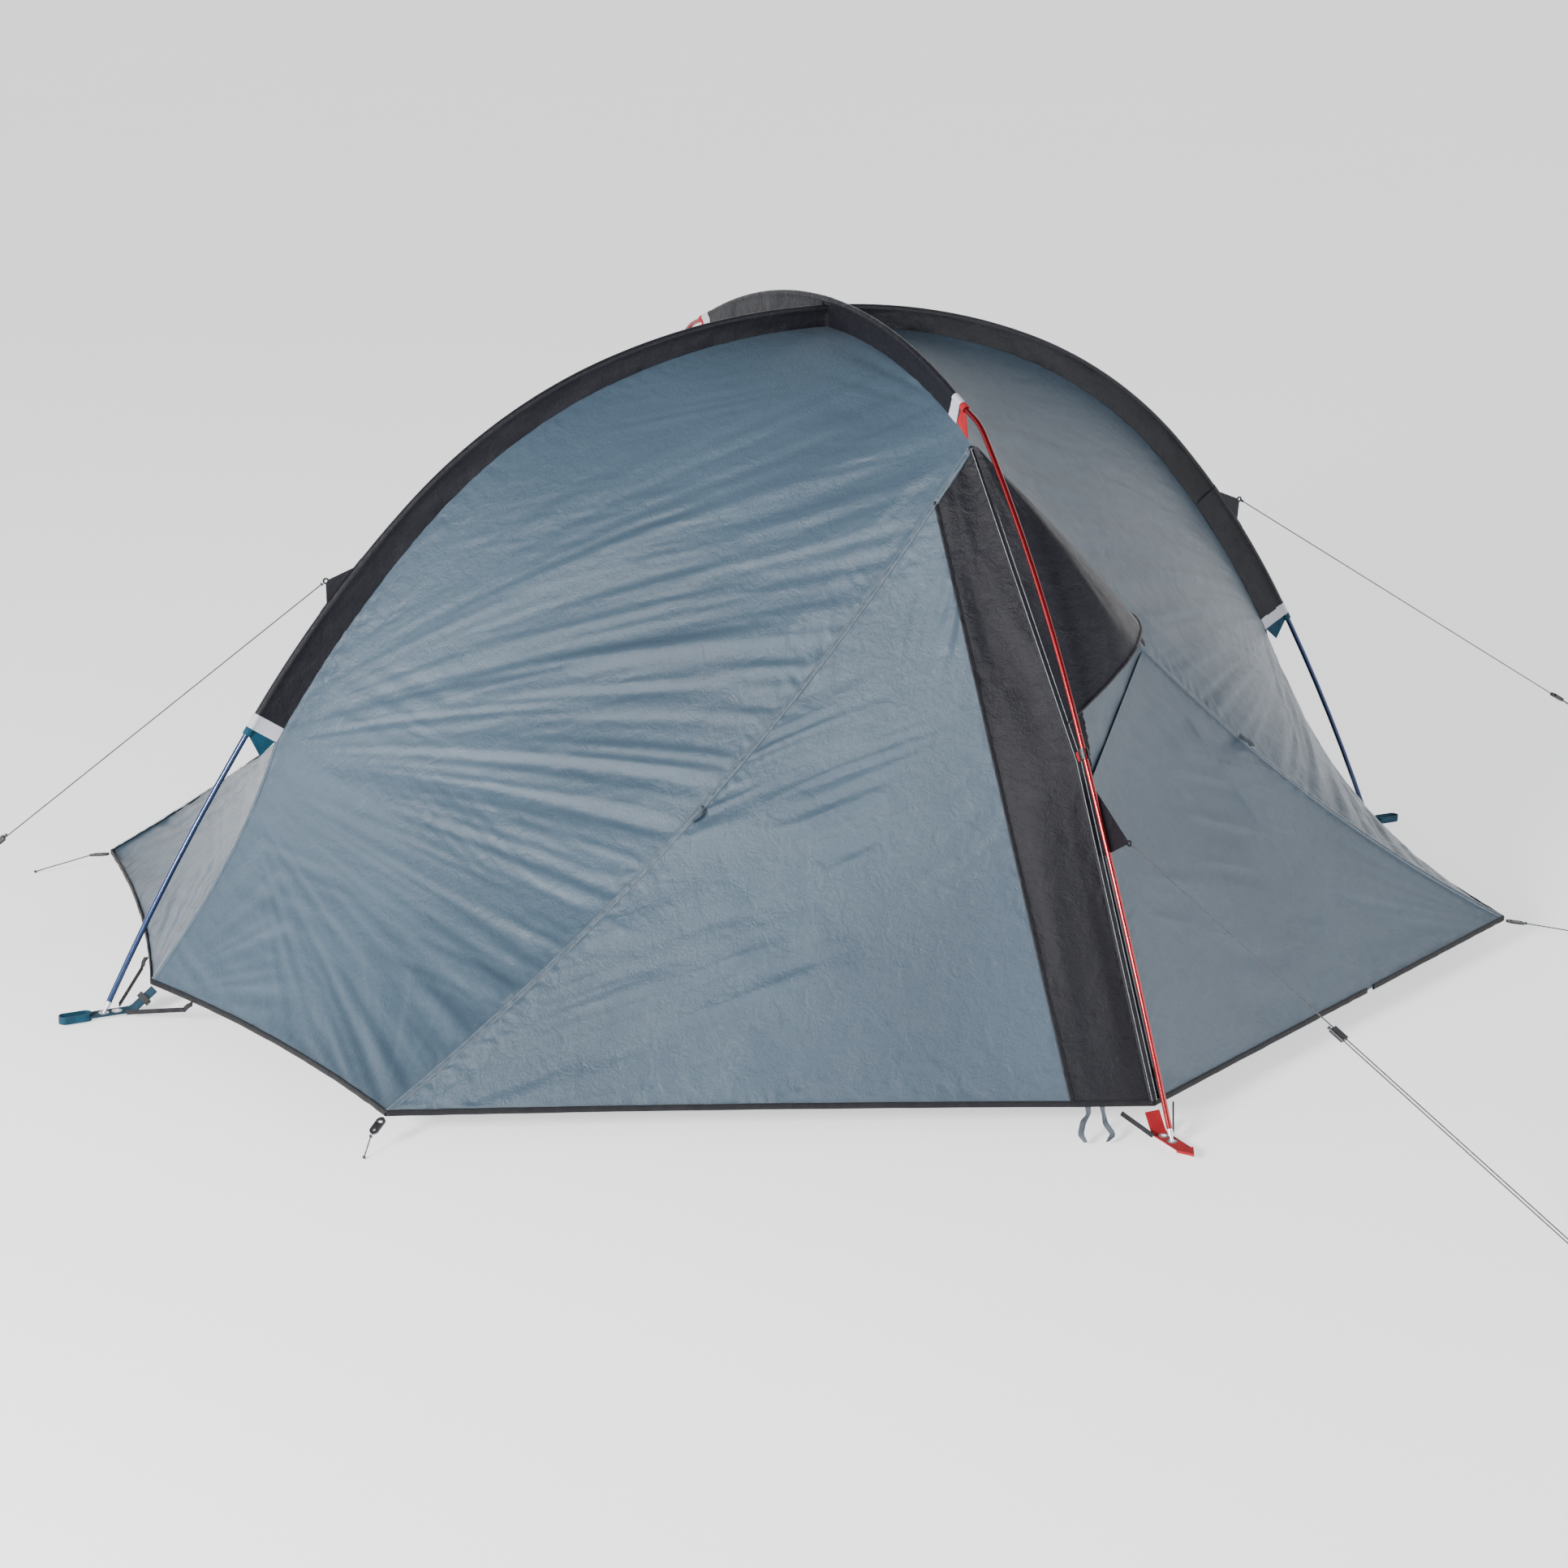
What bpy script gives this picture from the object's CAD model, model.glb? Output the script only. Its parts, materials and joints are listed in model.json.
import json
import math

import bpy
import numpy as np
from mathutils import Matrix, Vector


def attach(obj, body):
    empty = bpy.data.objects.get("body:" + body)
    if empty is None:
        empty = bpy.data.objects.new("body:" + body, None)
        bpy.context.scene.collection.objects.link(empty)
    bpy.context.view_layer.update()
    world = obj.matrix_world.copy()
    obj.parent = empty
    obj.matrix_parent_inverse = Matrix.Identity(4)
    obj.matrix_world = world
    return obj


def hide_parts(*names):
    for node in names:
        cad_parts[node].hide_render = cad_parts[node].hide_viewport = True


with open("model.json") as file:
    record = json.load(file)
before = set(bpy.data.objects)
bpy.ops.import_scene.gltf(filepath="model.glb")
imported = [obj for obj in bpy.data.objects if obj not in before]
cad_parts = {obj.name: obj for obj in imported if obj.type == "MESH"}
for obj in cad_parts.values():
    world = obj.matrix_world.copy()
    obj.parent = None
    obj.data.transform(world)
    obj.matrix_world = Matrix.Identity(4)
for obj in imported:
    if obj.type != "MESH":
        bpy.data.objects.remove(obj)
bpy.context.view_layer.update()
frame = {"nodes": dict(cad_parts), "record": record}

# Dome tent: the visible cloth, seams, webbing and guy lines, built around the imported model.
# Metres throughout. +X runs along the long pole, -Y is the door's side, +Z is up.

# ---- driving dimensions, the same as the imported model's ----------------------------------
LONG_TOP = 1.049
LONG_ARCS = [(0.400, 19.0), (0.401, 25.3), (0.3845, 12.3), (0.546, 7.6)]
SHORT_TOP = 1.0625
SHORT_ARCS = [(0.422, 24.6), (0.056, -4.8), (0.035, 25.4), (0.449, 12.9), (0.667, 4.5)]
LONG_R, SHORT_R = 0.0045, 0.00425
LONG_DEPTH, SHORT_DEPTH = (0.030, 0.050), (0.0435, 0.033)
LONG_SLEEVE_END, SHORT_SLEEVE_END = 1.206, 0.418
TAPE_WIDTH = 0.022
HEM_Z = 0.050
ELBOW = np.array([0.0, -0.458, 0.908])
CORNER = np.array([1.030, -0.625, HEM_Z])
SHORT_END = np.array([0.0, -1.045, HEM_Z])
LONG_END = np.array([1.166, 0.0, HEM_Z])
KINK = np.array([0.0, -0.795, 0.500])
KINK_AT = 0.54
SEAM_SAG = 0.067
BAND_WIDTH, BAND_AT = 0.120, 0.075
ZIP_WIDTH, ZIP_TOP = 0.026, 0.575
VENT_AT = 0.33
DOOR_FOLD_AT = 0.58
HOOD_RISE, HOOD_STANDOFF = 0.075, 0.007
ZIP_FLAP = 0.016
DOOR_TOP = VENT_AT + 0.01
GUY_R, KNOT_R = 0.001, 0.0026
LOK_L, RETURN_GAP = 0.024, 0.008
LONG_TAB_S, LONG_TAB_OUT = 0.968, 0.030
GUY_TAB_TIP = np.array([0.009, -0.925, 0.411])
TUB_X, SIDE_X, SIDE_Y = 1.035, 0.860, 0.520
TUB_TOP, WALL_FOOT = 0.120, 0.123
ROOF_X, ROOF_Y, ROOF_Z = 0.370, 0.200, 0.780
DOOR_HALF, DOOR_LOW, DOOR_HIGH = 0.230, 0.06, 0.72
SIDES = {"front_right": (1, 1), "front_left": (-1, 1), "back_right": (1, -1), "back_left": (-1, -1)}


# ---- lines of the tent ---------------------------------------------------------------------
def unit(v):
    v = np.asarray(v, float)
    return v / np.linalg.norm(v)


def unit_rows(v):
    return v / np.linalg.norm(v, axis=-1, keepdims=True)


def along_line(points):
    """Unit direction of a line at each of its points."""
    return unit_rows(np.gradient(points, axis=0))


def lengths_along(points):
    return np.concatenate([[0], np.cumsum(np.linalg.norm(np.diff(points, axis=0), axis=1))])


def mix(a, b, t):
    return a + (b - a) * t


def column(t):
    return np.atleast_1d(np.asarray(t, float))[:, None]


def chain_at(top, arcs, s):
    """Distance out, height and slope at arc lengths s from the pole's top."""
    left = np.atleast_1d(np.asarray(s, float)).copy()
    out, up, slope = np.zeros_like(left), np.full_like(left, top), np.zeros_like(left)
    for length, degrees in arcs:
        run = np.clip(left, 0, length)
        bend = math.radians(degrees) * run / length
        radius = length / math.radians(degrees)
        out += radius * (np.sin(slope + bend) - np.sin(slope))
        up += radius * (np.cos(slope + bend) - np.cos(slope))
        slope += bend
        left -= length
    return out, up, slope


def beside(top, arcs, s, depth=0.0):
    """Points in the pole's plane at signed arc lengths s, moved inwards by depth."""
    s = np.atleast_1d(np.asarray(s, float))
    side = np.where(s < 0, -1, 1)
    out, up, slope = chain_at(top, arcs, np.abs(s))
    return side * (out - depth * np.sin(slope)), up - depth * np.cos(slope)


def depth_at(depths, s, end):
    return depths[0] + (depths[1] - depths[0]) * np.minimum(1.0, s / end)


def ridge(top, arcs, depths, arc, drop, end, t):
    """Distance out and height along a pole's ridge: an arc, then a straight drop to end."""
    s = np.atleast_1d(t) * (arc + drop)
    out, up = beside(top, arcs, np.minimum(s, arc), depth_at(depths, s, arc))
    share = np.clip((s - arc) / drop, 0, 1)
    return mix(out, end[0], share), mix(up, end[1], share), share


def long_ridge(t):
    arc = LONG_SLEEVE_END + TAPE_WIDTH
    x, z, share = ridge(LONG_TOP, LONG_ARCS, LONG_DEPTH, arc, 0.420, (LONG_END[0], HEM_Z), t)
    x = x - 4 * 0.022 * share * (1 - share)
    return np.stack([x, 0 * x, z], -1)


def short_ridge(t):
    arc = SHORT_SLEEVE_END + TAPE_WIDTH
    y, z, share = ridge(SHORT_TOP, SHORT_ARCS, SHORT_DEPTH, arc, 0.060, (-ELBOW[1], ELBOW[2]), t)
    return np.stack([0 * y, -y, z], -1)


def seam(t):
    """Seam from the elbow corner to the hem corner, sagging in the chord's own plane."""
    t = column(t)
    chord = CORNER - ELBOW
    run, fall = math.hypot(chord[0], chord[1]), -chord[2]
    length = math.hypot(run, fall)
    sag = SEAM_SAG * 4 * t * (1 - t)
    inward = np.array([-chord[0] * fall / length / run, -chord[1] * fall / length / run, -run / length])
    return mix(ELBOW, CORNER, t) + sag * inward


def spine(t):
    """Seam beside the short pole's leg, from the elbow corner to the hem."""
    t = column(t)
    upper = mix(ELBOW, KINK, t / KINK_AT)
    lower = mix(KINK, SHORT_END, (t - KINK_AT) / (1 - KINK_AT))
    return np.where(t < KINK_AT, upper, lower)


def beside_spine(width):
    """A line that leaves the spine sideways by width, towards the seam."""
    def line(t):
        near, far = spine(t), seam(t)
        gap = np.linalg.norm(far - near, axis=1)[:, None]
        return mix(near, far, np.where(gap > width, width / np.maximum(gap, 1e-9), 1.0))
    return line


def span(line, start, end):
    return lambda t: line(start + (end - start) * np.atleast_1d(t))


def straight(a, b):
    a, b = np.asarray(a, float).reshape(3), np.asarray(b, float).reshape(3)
    return lambda t: mix(a, b, column(t))


def hem(a, b, inward):
    """Hem edge from a to b, cut in a shallow curve that leans inwards and lifts a little."""
    a, b = np.asarray(a, float).reshape(3), np.asarray(b, float).reshape(3)
    middle = (a + b) / 2
    towards = np.array([-middle[0], -middle[1], 0])
    run = unit(b - a)
    lean = unit(towards - np.dot(towards, run) * run) * inward + np.array([0, 0, inward * 0.25])

    def line(t):
        t = column(t)
        return mix(a, b, t) + lean * 4 * t * (1 - t)
    return line


def patch(first, last, top, bottom, rows, columns):
    """Grid of a Coons patch between two long edges (first, last) and two short ones."""
    u, v = np.linspace(0, 1, rows), np.linspace(0, 1, columns)
    a, b, c, d = first(u)[:, None], last(u)[:, None], top(v)[None], bottom(v)[None]
    uu, vv = u[:, None, None], v[None, :, None]
    ruled = (1 - vv) * a + vv * b + (1 - uu) * c + uu * d
    corners = (1 - uu) * ((1 - vv) * a[0] + vv * b[0]) + uu * ((1 - vv) * a[-1] + vv * b[-1])
    return ruled - corners


# ---- camera ----------------------------------------------------------------------------------
def add_camera():
    lens = bpy.data.cameras.new("camera")
    lens.lens, lens.sensor_width, lens.clip_end = 73.60, 36.0, 60.0
    camera = bpy.data.objects.new("camera", lens)
    bpy.context.scene.collection.objects.link(camera)
    right = Vector((0.87389923, -0.48470326, 0.03691738))
    up = Vector((0.11432941, 0.27875671, 0.95353211))
    back = -Vector((0.47247109, 0.82907023, -0.29902111))
    turn = Matrix((right, up, back)).transposed().to_4x4()
    camera.matrix_world = Matrix.Translation((-2.62800, -4.53011, 1.87197)) @ turn
    bpy.context.scene.camera = camera


add_camera()


# ---- materials ----------------------------------------------------------------------------------
class Finish:
    """A procedural material: principled shader with colour, roughness and bump from nodes."""

    def __init__(self, name, **sockets):
        self.material = bpy.data.materials.new(name)
        self.material.use_nodes = True
        self.tree = self.material.node_tree
        self.shader = self.tree.nodes["Principled BSDF"]
        for socket, value in sockets.items():
            self.shader.inputs[socket.replace("_", " ")].default_value = value
        self.place = self.tree.nodes.new("ShaderNodeTexCoord").outputs["Object"]
        self.height = None

    def feed(self, socket, value):
        if isinstance(value, bpy.types.NodeSocket):
            self.tree.links.new(value, socket)
        else:
            socket.default_value = value

    def node(self, kind, *inputs, **settings):
        made = self.tree.nodes.new(kind)
        for setting, value in settings.items():
            setattr(made, setting, value)
        for index, value in enumerate(inputs):
            if value is not None:
                self.feed(made.inputs[index], value)
        return made

    def math(self, operation, a, b=0.0):
        return self.node("ShaderNodeMath", a, b, operation=operation).outputs[0]

    def noise(self, scale, detail=2.0, distortion=0.0):
        made = self.node("ShaderNodeTexNoise", self.place)
        made.inputs["Scale"].default_value = scale
        made.inputs["Detail"].default_value = detail
        made.inputs["Distortion"].default_value = distortion
        return made.outputs["Fac"]

    def wave(self, scale, direction):
        made = self.node("ShaderNodeTexWave", self.place, bands_direction=direction)
        made.inputs["Scale"].default_value = scale
        return made.outputs["Fac"]

    def between(self, factor, low, high):
        """Colour between low and high as factor goes from 0 to 1."""
        ramp = self.node("ShaderNodeValToRGB", factor)
        ramp.color_ramp.elements[0].color = (*low, 1)
        ramp.color_ramp.elements[1].color = (*high, 1)
        ramp.color_ramp.elements[0].position = 0.3
        ramp.color_ramp.elements[1].position = 0.7
        return ramp.outputs["Color"]

    def span_of(self, factor, low, high):
        return self.node("ShaderNodeMapRange", factor, 0.25, 0.75, low, high).outputs[0]

    def colour(self, value):
        self.feed(self.shader.inputs["Base Color"], value)

    def roughness(self, factor, low, high):
        self.feed(self.shader.inputs["Roughness"], self.span_of(factor, low, high))

    def bump(self, factor, distance):
        made = self.node("ShaderNodeBump")
        made.inputs["Strength"].default_value = 1.0
        made.inputs["Distance"].default_value = distance
        self.feed(made.inputs["Height"], factor)
        if self.height is not None:
            self.feed(made.inputs["Normal"], self.height)
        self.height = made.outputs["Normal"]
        self.feed(self.shader.inputs["Normal"], self.height)


def cloth_finish(name, low, high, rough, crinkle=0.0008, shine=0.2):
    """Coated woven cloth: tone drifts over the panel, fine threads and small soft crinkles."""
    finish = Finish(name, Specular_IOR_Level=shine, Sheen_Weight=0.02, Sheen_Roughness=0.4)
    finish.colour(finish.between(finish.noise(2.2, 4.0), low, high))
    fine = finish.noise(38.0, 5.0, distortion=0.6)
    finish.roughness(fine, rough - 0.05, rough + 0.07)
    finish.bump(fine, crinkle)
    finish.bump(finish.noise(130.0, 3.0, distortion=1.5), crinkle * 0.35)
    weave = finish.math("ADD", finish.wave(900.0, "X"), finish.wave(900.0, "Z"))
    finish.bump(weave, 0.00004)
    return finish


def webbing_finish(name, low, high):
    """Woven tape: close ribs across, a paler worn tone here and there."""
    finish = Finish(name, Specular_IOR_Level=0.2, Sheen_Weight=0.05, Sheen_Roughness=0.5)
    finish.colour(finish.between(finish.noise(60.0, 4.0), low, high))
    finish.roughness(finish.noise(220.0, 3.0), 0.55, 0.75)
    ribs_both = finish.math("MULTIPLY", finish.wave(700.0, "DIAGONAL"), finish.wave(420.0, "Z"))
    finish.bump(ribs_both, 0.0003)
    return finish


def metal_finish(name, low, high, rough):
    """Anodised or bright tube: fine drawing lines and faint rubbing."""
    finish = Finish(name, Metallic=0.85, Coat_Weight=0.6, Coat_Roughness=0.12)
    finish.colour(finish.between(finish.noise(25.0, 5.0), low, high))
    finish.roughness(finish.noise(300.0, 2.0), rough - 0.05, rough + 0.08)
    finish.bump(finish.noise(900.0, 2.0), 0.00003)
    return finish


def plastic_finish(name, low, high):
    """Moulded plastic with a fine grain."""
    finish = Finish(name)
    finish.colour(finish.between(finish.noise(90.0, 4.0), low, high))
    finish.roughness(finish.noise(500.0, 3.0), 0.36, 0.52)
    finish.bump(finish.noise(1400.0, 2.0), 0.00005)
    return finish


def cord_finish(name, low, high):
    """Braided cord: two strands crossing, with paler flecks."""
    finish = Finish(name, Sheen_Weight=0.2)
    finish.colour(finish.between(finish.noise(420.0, 1.0), low, high))
    finish.roughness(finish.noise(200.0, 2.0), 0.5, 0.75)
    finish.bump(finish.math("MULTIPLY", finish.wave(900.0, "DIAGONAL"), finish.wave(900.0, "X")), 0.0002)
    return finish


# For each finish: its darker and paler colour, then roughness, crinkle height and shine where it has them.
FINISH_LOOKS = {
    cloth_finish: {
        "fly_fabric": ((0.035, 0.056, 0.079), (0.049, 0.077, 0.107), 0.32, 0.0016, 0.45),
        "dark_fabric": ((0.0045, 0.0045, 0.0070), (0.0095, 0.0095, 0.0135), 0.36, 0.0024),
        "mesh_fabric": ((0.003, 0.003, 0.005), (0.007, 0.007, 0.010), 0.7, 0.0002, 0.1),
        "inner_fabric": ((0.30, 0.31, 0.30), (0.38, 0.39, 0.38), 0.6),
        "groundsheet_fabric": ((0.014, 0.017, 0.020), (0.03, 0.033, 0.038), 0.5),
        "reflective_tape": ((0.36, 0.36, 0.41), (0.46, 0.46, 0.50), 0.35, 0.0003),
    },
    webbing_finish: {
        "zip_tape": ((0.004, 0.004, 0.006), (0.009, 0.009, 0.012)),
        "teal_webbing": ((0.001, 0.026, 0.050), (0.003, 0.045, 0.080)),
        "red_webbing": ((0.26, 0.003, 0.008), (0.36, 0.008, 0.014)),
        "black_webbing": ((0.007, 0.007, 0.009), (0.016, 0.016, 0.020)),
        "grey_webbing": ((0.045, 0.055, 0.068), (0.090, 0.105, 0.125)),
    },
    metal_finish: {
        "long_pole_anodised": ((0.001, 0.012, 0.055), (0.002, 0.020, 0.080), 0.25),
        "short_pole_anodised": ((0.20, 0.0015, 0.005), (0.26, 0.003, 0.007), 0.20),
        "pole_metal": ((0.50, 0.50, 0.52), (0.66, 0.66, 0.68), 0.3),
    },
    cord_finish: {
        "shock_cord": ((0.02, 0.02, 0.02), (0.07, 0.07, 0.07)),
        "guy_cord": ((0.012, 0.013, 0.018), (0.06, 0.063, 0.075)),
        "stitching": ((0.16, 0.18, 0.20), (0.28, 0.30, 0.33)),
    },
    plastic_finish: {
        "black_plastic": ((0.006, 0.006, 0.008), (0.014, 0.014, 0.017)),
    },
}
FINISHES = {name: make(name, *look) for make, looks in FINISH_LOOKS.items() for name, look in looks.items()}


def dress(piece, slot, finish=None):
    """Give a piece its finish and name the record's slot it comes from."""
    piece.data.materials.clear()
    piece.data.materials.append(FINISHES[finish or slot].material)
    return piece


# ---- guy lines and peg cords ------------------------------------------------------------------------
def link(obj):
    bpy.context.scene.collection.objects.link(obj)
    return obj


def nurbs(name, points, radius):
    """One open smooth line through the route's control points."""
    curve = bpy.data.curves.new(name, "CURVE")
    curve.dimensions = "3D"
    spline = curve.splines.new("NURBS")
    spline.points.add(len(points) - 1)
    for control, place in zip(spline.points, points):
        control.co = (*place, 1.0)
    spline.order_u = 3
    spline.use_endpoint_u = True
    spline.resolution_u = 16
    curve.bevel_depth = radius
    curve.bevel_resolution = 3
    curve.use_fill_caps = True
    return link(bpy.data.objects.new(name, curve))


def knot(name, centre, along):
    """Small overhand knot: a closed loop of cord pulled tight round itself."""
    turns, steps, sides = 2, 40, 8
    run = unit(along)
    a = unit(np.cross(run, [0.3, 0.2, 1.0]))
    b = np.cross(run, a)
    grid = []
    for i in range(steps):
        angle = 2 * math.pi * i / steps
        swing = 0.0013 + 0.0005 * math.cos(3 * angle)
        middle = swing * (math.cos(turns * angle) * a + math.sin(turns * angle) * b)
        middle = np.asarray(centre) + middle + run * 0.0012 * math.sin(3 * angle)
        out = unit(math.cos(turns * angle) * a + math.sin(turns * angle) * b)
        grid.append([middle + 0.0011 * (math.cos(2 * math.pi * k / sides) * out
                                        + math.sin(2 * math.pi * k / sides) * run) for k in range(sides)])
    grid = np.array(grid)
    return mesh_piece(name, np.concatenate([grid, grid[:1]]), closed=True)


def grid_mesh(name, grid, closed=False):
    """Smooth mesh of quads over a grid of points; closed joins the last column to the first."""
    rows, columns = grid.shape[:2]
    index = np.arange(rows * columns).reshape(rows, columns)
    if closed:
        index = np.concatenate([index, index[:, :1]], axis=1)
    quads = np.stack([index[:-1, :-1], index[1:, :-1], index[1:, 1:], index[:-1, 1:]], -1).reshape(-1, 4)
    mesh = bpy.data.meshes.new(name)
    mesh.vertices.add(rows * columns)
    mesh.vertices.foreach_set("co", np.ascontiguousarray(grid, np.float32).reshape(-1))
    mesh.loops.add(quads.size)
    mesh.loops.foreach_set("vertex_index", quads.reshape(-1).astype(np.int32))
    mesh.polygons.add(len(quads))
    mesh.polygons.foreach_set("loop_start", np.arange(0, quads.size, 4, dtype=np.int32))
    mesh.polygons.foreach_set("use_smooth", np.ones(len(quads), bool))
    mesh.update(calc_edges=True)
    mesh.validate()
    return mesh


def mesh_piece(name, grid, closed=False):
    return link(bpy.data.objects.new(name, grid_mesh(name, grid, closed)))


long_tip_out, long_tip_up = beside(LONG_TOP, LONG_ARCS, LONG_TAB_S + 0.008, -LONG_TAB_OUT)
LONG_TIP = np.array([long_tip_out[0], 0.0, long_tip_up[0]])
# Each guy line: its tab, its ground point, and how far along it the adjuster sits.
GUYS = {
    "left": (LONG_TIP * (-1, 1, 1), np.array([-1.687, 0.200, 0.0025]), 0.60),
    "right": (LONG_TIP, np.array([2.060, 0, 0.0025]), 0.684),
    "front": (GUY_TAB_TIP, np.array([0.300, -1.645, 0.0025]), 0.47),
    "back": (GUY_TAB_TIP * (1, -1, 1), np.array([0.200, 1.300, 0.0025]), 0.40),
}


def lay_cord(name, node, route, knot_places):
    """A taut cord along its route with a knot at each named place, declared to the frame."""
    run = unit(route[1] - route[0])
    line = dress(nurbs(f"{name}_line", route, GUY_R), "guy_cord")
    knots = [dress(knot(f"{name}_{end}_knot", place, run), "guy_cord") for end, place in knot_places.items()]
    for piece in [line] + knots:
        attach(piece, "tent")
    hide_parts(node)


for name, (tab, ground, share) in GUYS.items():
    run = unit(ground - tab)
    sideways = unit(np.cross(run, [0, 0, 1])) * RETURN_GAP
    start = tab + run * (0.0055 + KNOT_R)
    lok = start + (ground - start) * share
    back_end = lok - run * (LOK_L / 2 + KNOT_R + 0.001) + sideways
    route = [start, ground - run * 0.012, ground, ground + sideways, ground + sideways - run * 0.012, back_end]
    lay_cord(f"{name}_guy", f"{name}_guy", route, {"tab": start, "lok": back_end})

# Each corner's cord: the outward end of its hook, and where the cord meets the ground.
CORNER_CORDS = {
    "front_left": ((-1.058, -0.641, 0.030), (-1.075, -0.655, 0.0015)),
    "front_right": ((1.070, -0.634, 0.038), (1.218, -0.658, 0.0015)),
    "back_left": ((-1.052, 0.662, 0.036), (-1.142, 0.706, 0.0015)),
    "back_right": ((1.052, 0.662, 0.036), (1.142, 0.706, 0.0015)),
}
for name, (hook_end, ground) in CORNER_CORDS.items():
    hook_end, ground = np.array(hook_end), np.array(ground) + (0, 0, 0.0012)
    run = unit(ground - hook_end)
    start = hook_end + run * (KNOT_R + 0.0012)
    lay_cord(f"{name}_peg", f"{name}_peg_cord", [start, start + run * 0.012, ground],
             {"hook": start, "ground": ground})


# ---- cloth: folds, puckers and sheets ------------------------------------------------------------------
def noise(x, y, seed):
    """Smooth value noise from -1 to 1, one cell per unit."""
    table = np.random.default_rng(seed).uniform(-1, 1, (256, 256))
    xi, yi = np.floor(x).astype(int), np.floor(y).astype(int)
    fx, fy = x - xi, y - yi
    fx, fy = fx * fx * (3 - 2 * fx), fy * fy * (3 - 2 * fy)
    low = table[xi % 256, yi % 256] * (1 - fx) + table[(xi + 1) % 256, yi % 256] * fx
    high = table[xi % 256, (yi + 1) % 256] * (1 - fx) + table[(xi + 1) % 256, (yi + 1) % 256] * fx
    return low * (1 - fy) + high * fy


def step(x, low, high):
    """Smooth step from 0 at low to 1 at high; low may be the larger."""
    t = np.clip((x - low) / (high - low), 0, 1)
    return t * t * (3 - 2 * t)


def grid_normals(grid):
    along = np.gradient(grid, axis=0)
    across = np.gradient(grid, axis=1)
    normal = np.cross(along, across)
    return normal / np.maximum(np.linalg.norm(normal, axis=2, keepdims=True), 1e-12)


def edge_distances(grid):
    """Distances from each point along the grid to its four edges: first, last, top, bottom."""
    across = np.linalg.norm(np.diff(grid, axis=1), axis=2)
    along = np.linalg.norm(np.diff(grid, axis=0), axis=2)
    left = np.concatenate([np.zeros((grid.shape[0], 1)), np.cumsum(across, 1)], 1)
    top = np.concatenate([np.zeros((1, grid.shape[1])), np.cumsum(along, 0)], 0)
    return left, left[:, -1:] - left, top, top[-1:] - top


def fan(grid, anchor, reach, pitch, amount, seed, inner=0.0, sector=None, axis=None, life=0.28):
    """Folds that radiate from an anchor: height at each point. sector is (from, to) in degrees."""
    normal = unit(grid_normals(grid).mean((0, 1)))
    e1 = unit(np.asarray(axis, float) - np.dot(axis, normal) * normal)
    e2 = np.cross(normal, e1)
    e2 = e2 if e2[2] > 0 else -e2
    rel = grid - np.asarray(anchor)
    x, y = rel @ e1, rel @ e2
    r, angle = np.hypot(x, y), np.arctan2(y, x)
    warp = 0.35 * noise(r / 0.35 + 7, angle / 0.5 + 3, seed + 1)
    folds = noise(angle / pitch + warp, r / life, seed)
    folds += 0.45 * noise(angle / pitch * 1.9 + warp, r / (life * 0.7), seed + 2)
    height = folds * r * pitch * amount
    height *= step(r, inner, inner + 0.10) * step(r, reach, reach * 0.6)
    if sector:
        low, high = (math.radians(a) for a in sector)
        height *= step(angle, low, low + 0.25) * step(angle, high, high - 0.25)
    return height


def streaks(grid, along, wavelength, length, height, seed, centre, radius):
    """Short parallel folds along a direction, in a soft round area."""
    normal = unit(grid_normals(grid).mean((0, 1)))
    e1 = unit(np.asarray(along, float) - np.dot(along, normal) * normal)
    e2 = np.cross(normal, e1)
    rel = grid - np.asarray(centre)
    x, y = rel @ e1, rel @ e2
    across = y * 2 / wavelength + 0.4 * noise(x / 0.2, y / 0.2, seed + 1) + 90
    folds = 0.6 * noise(across, x / length + 50, seed)
    folds += 0.5 - 1.5 * np.abs(noise(across * 0.8 + 7, x / length + 20, seed + 3))
    patchy = step(noise(x / 0.16 + 20, y / 0.10 + 20, seed + 5), -0.35, 0.45)
    return height * folds * patchy * step(np.hypot(x, y), radius, radius * 0.35)


def puckers(distance, position, wavelength, reach, height, seed):
    """Gathers along an edge: they start just off the stitching and die out into the panel."""
    folds = noise(position * 2 / wavelength + 40, distance / (reach * 0.8) + 10, seed)
    folds += 0.5 * noise(position * 3.7 / wavelength + 40, distance / (reach * 0.4) + 10, seed + 1)
    patchy = 0.45 + 0.55 * step(noise(position / 0.11 + 9, distance * 0 + 5, seed + 2), -0.5, 0.5)
    return height * folds * patchy * step(distance, 0, 0.006) * np.exp(-distance / reach)


def cloth(name, node, grid, slot, body="tent", heights=None, flips=(1, 1),
          edge_fade=0.010, faces_out=True):
    """One sheet of cloth: a grid pushed out along its normals by heights, on its body."""
    normals = grid_normals(grid)
    if (normals.mean((0, 1)) @ grid.mean((0, 1)) < 0) == faces_out:
        normals = -normals
    if heights is not None:
        first, last, top, bottom = edge_distances(grid)
        nearest = np.minimum(np.minimum(first, last), np.minimum(top, bottom))
        grid = grid + normals * (heights * step(nearest, 0, edge_fade))[..., None]
    grid = grid * np.array([flips[0], flips[1], 1])
    final = grid_normals(grid)
    if (final.mean((0, 1)) @ grid.mean((0, 1)) < 0) == faces_out:
        grid = grid[:, ::-1]
    piece = dress(mesh_piece(name, grid), slot)
    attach(piece, body)
    if node:
        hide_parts(*([node] if isinstance(node, str) else node))
    return piece


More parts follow.
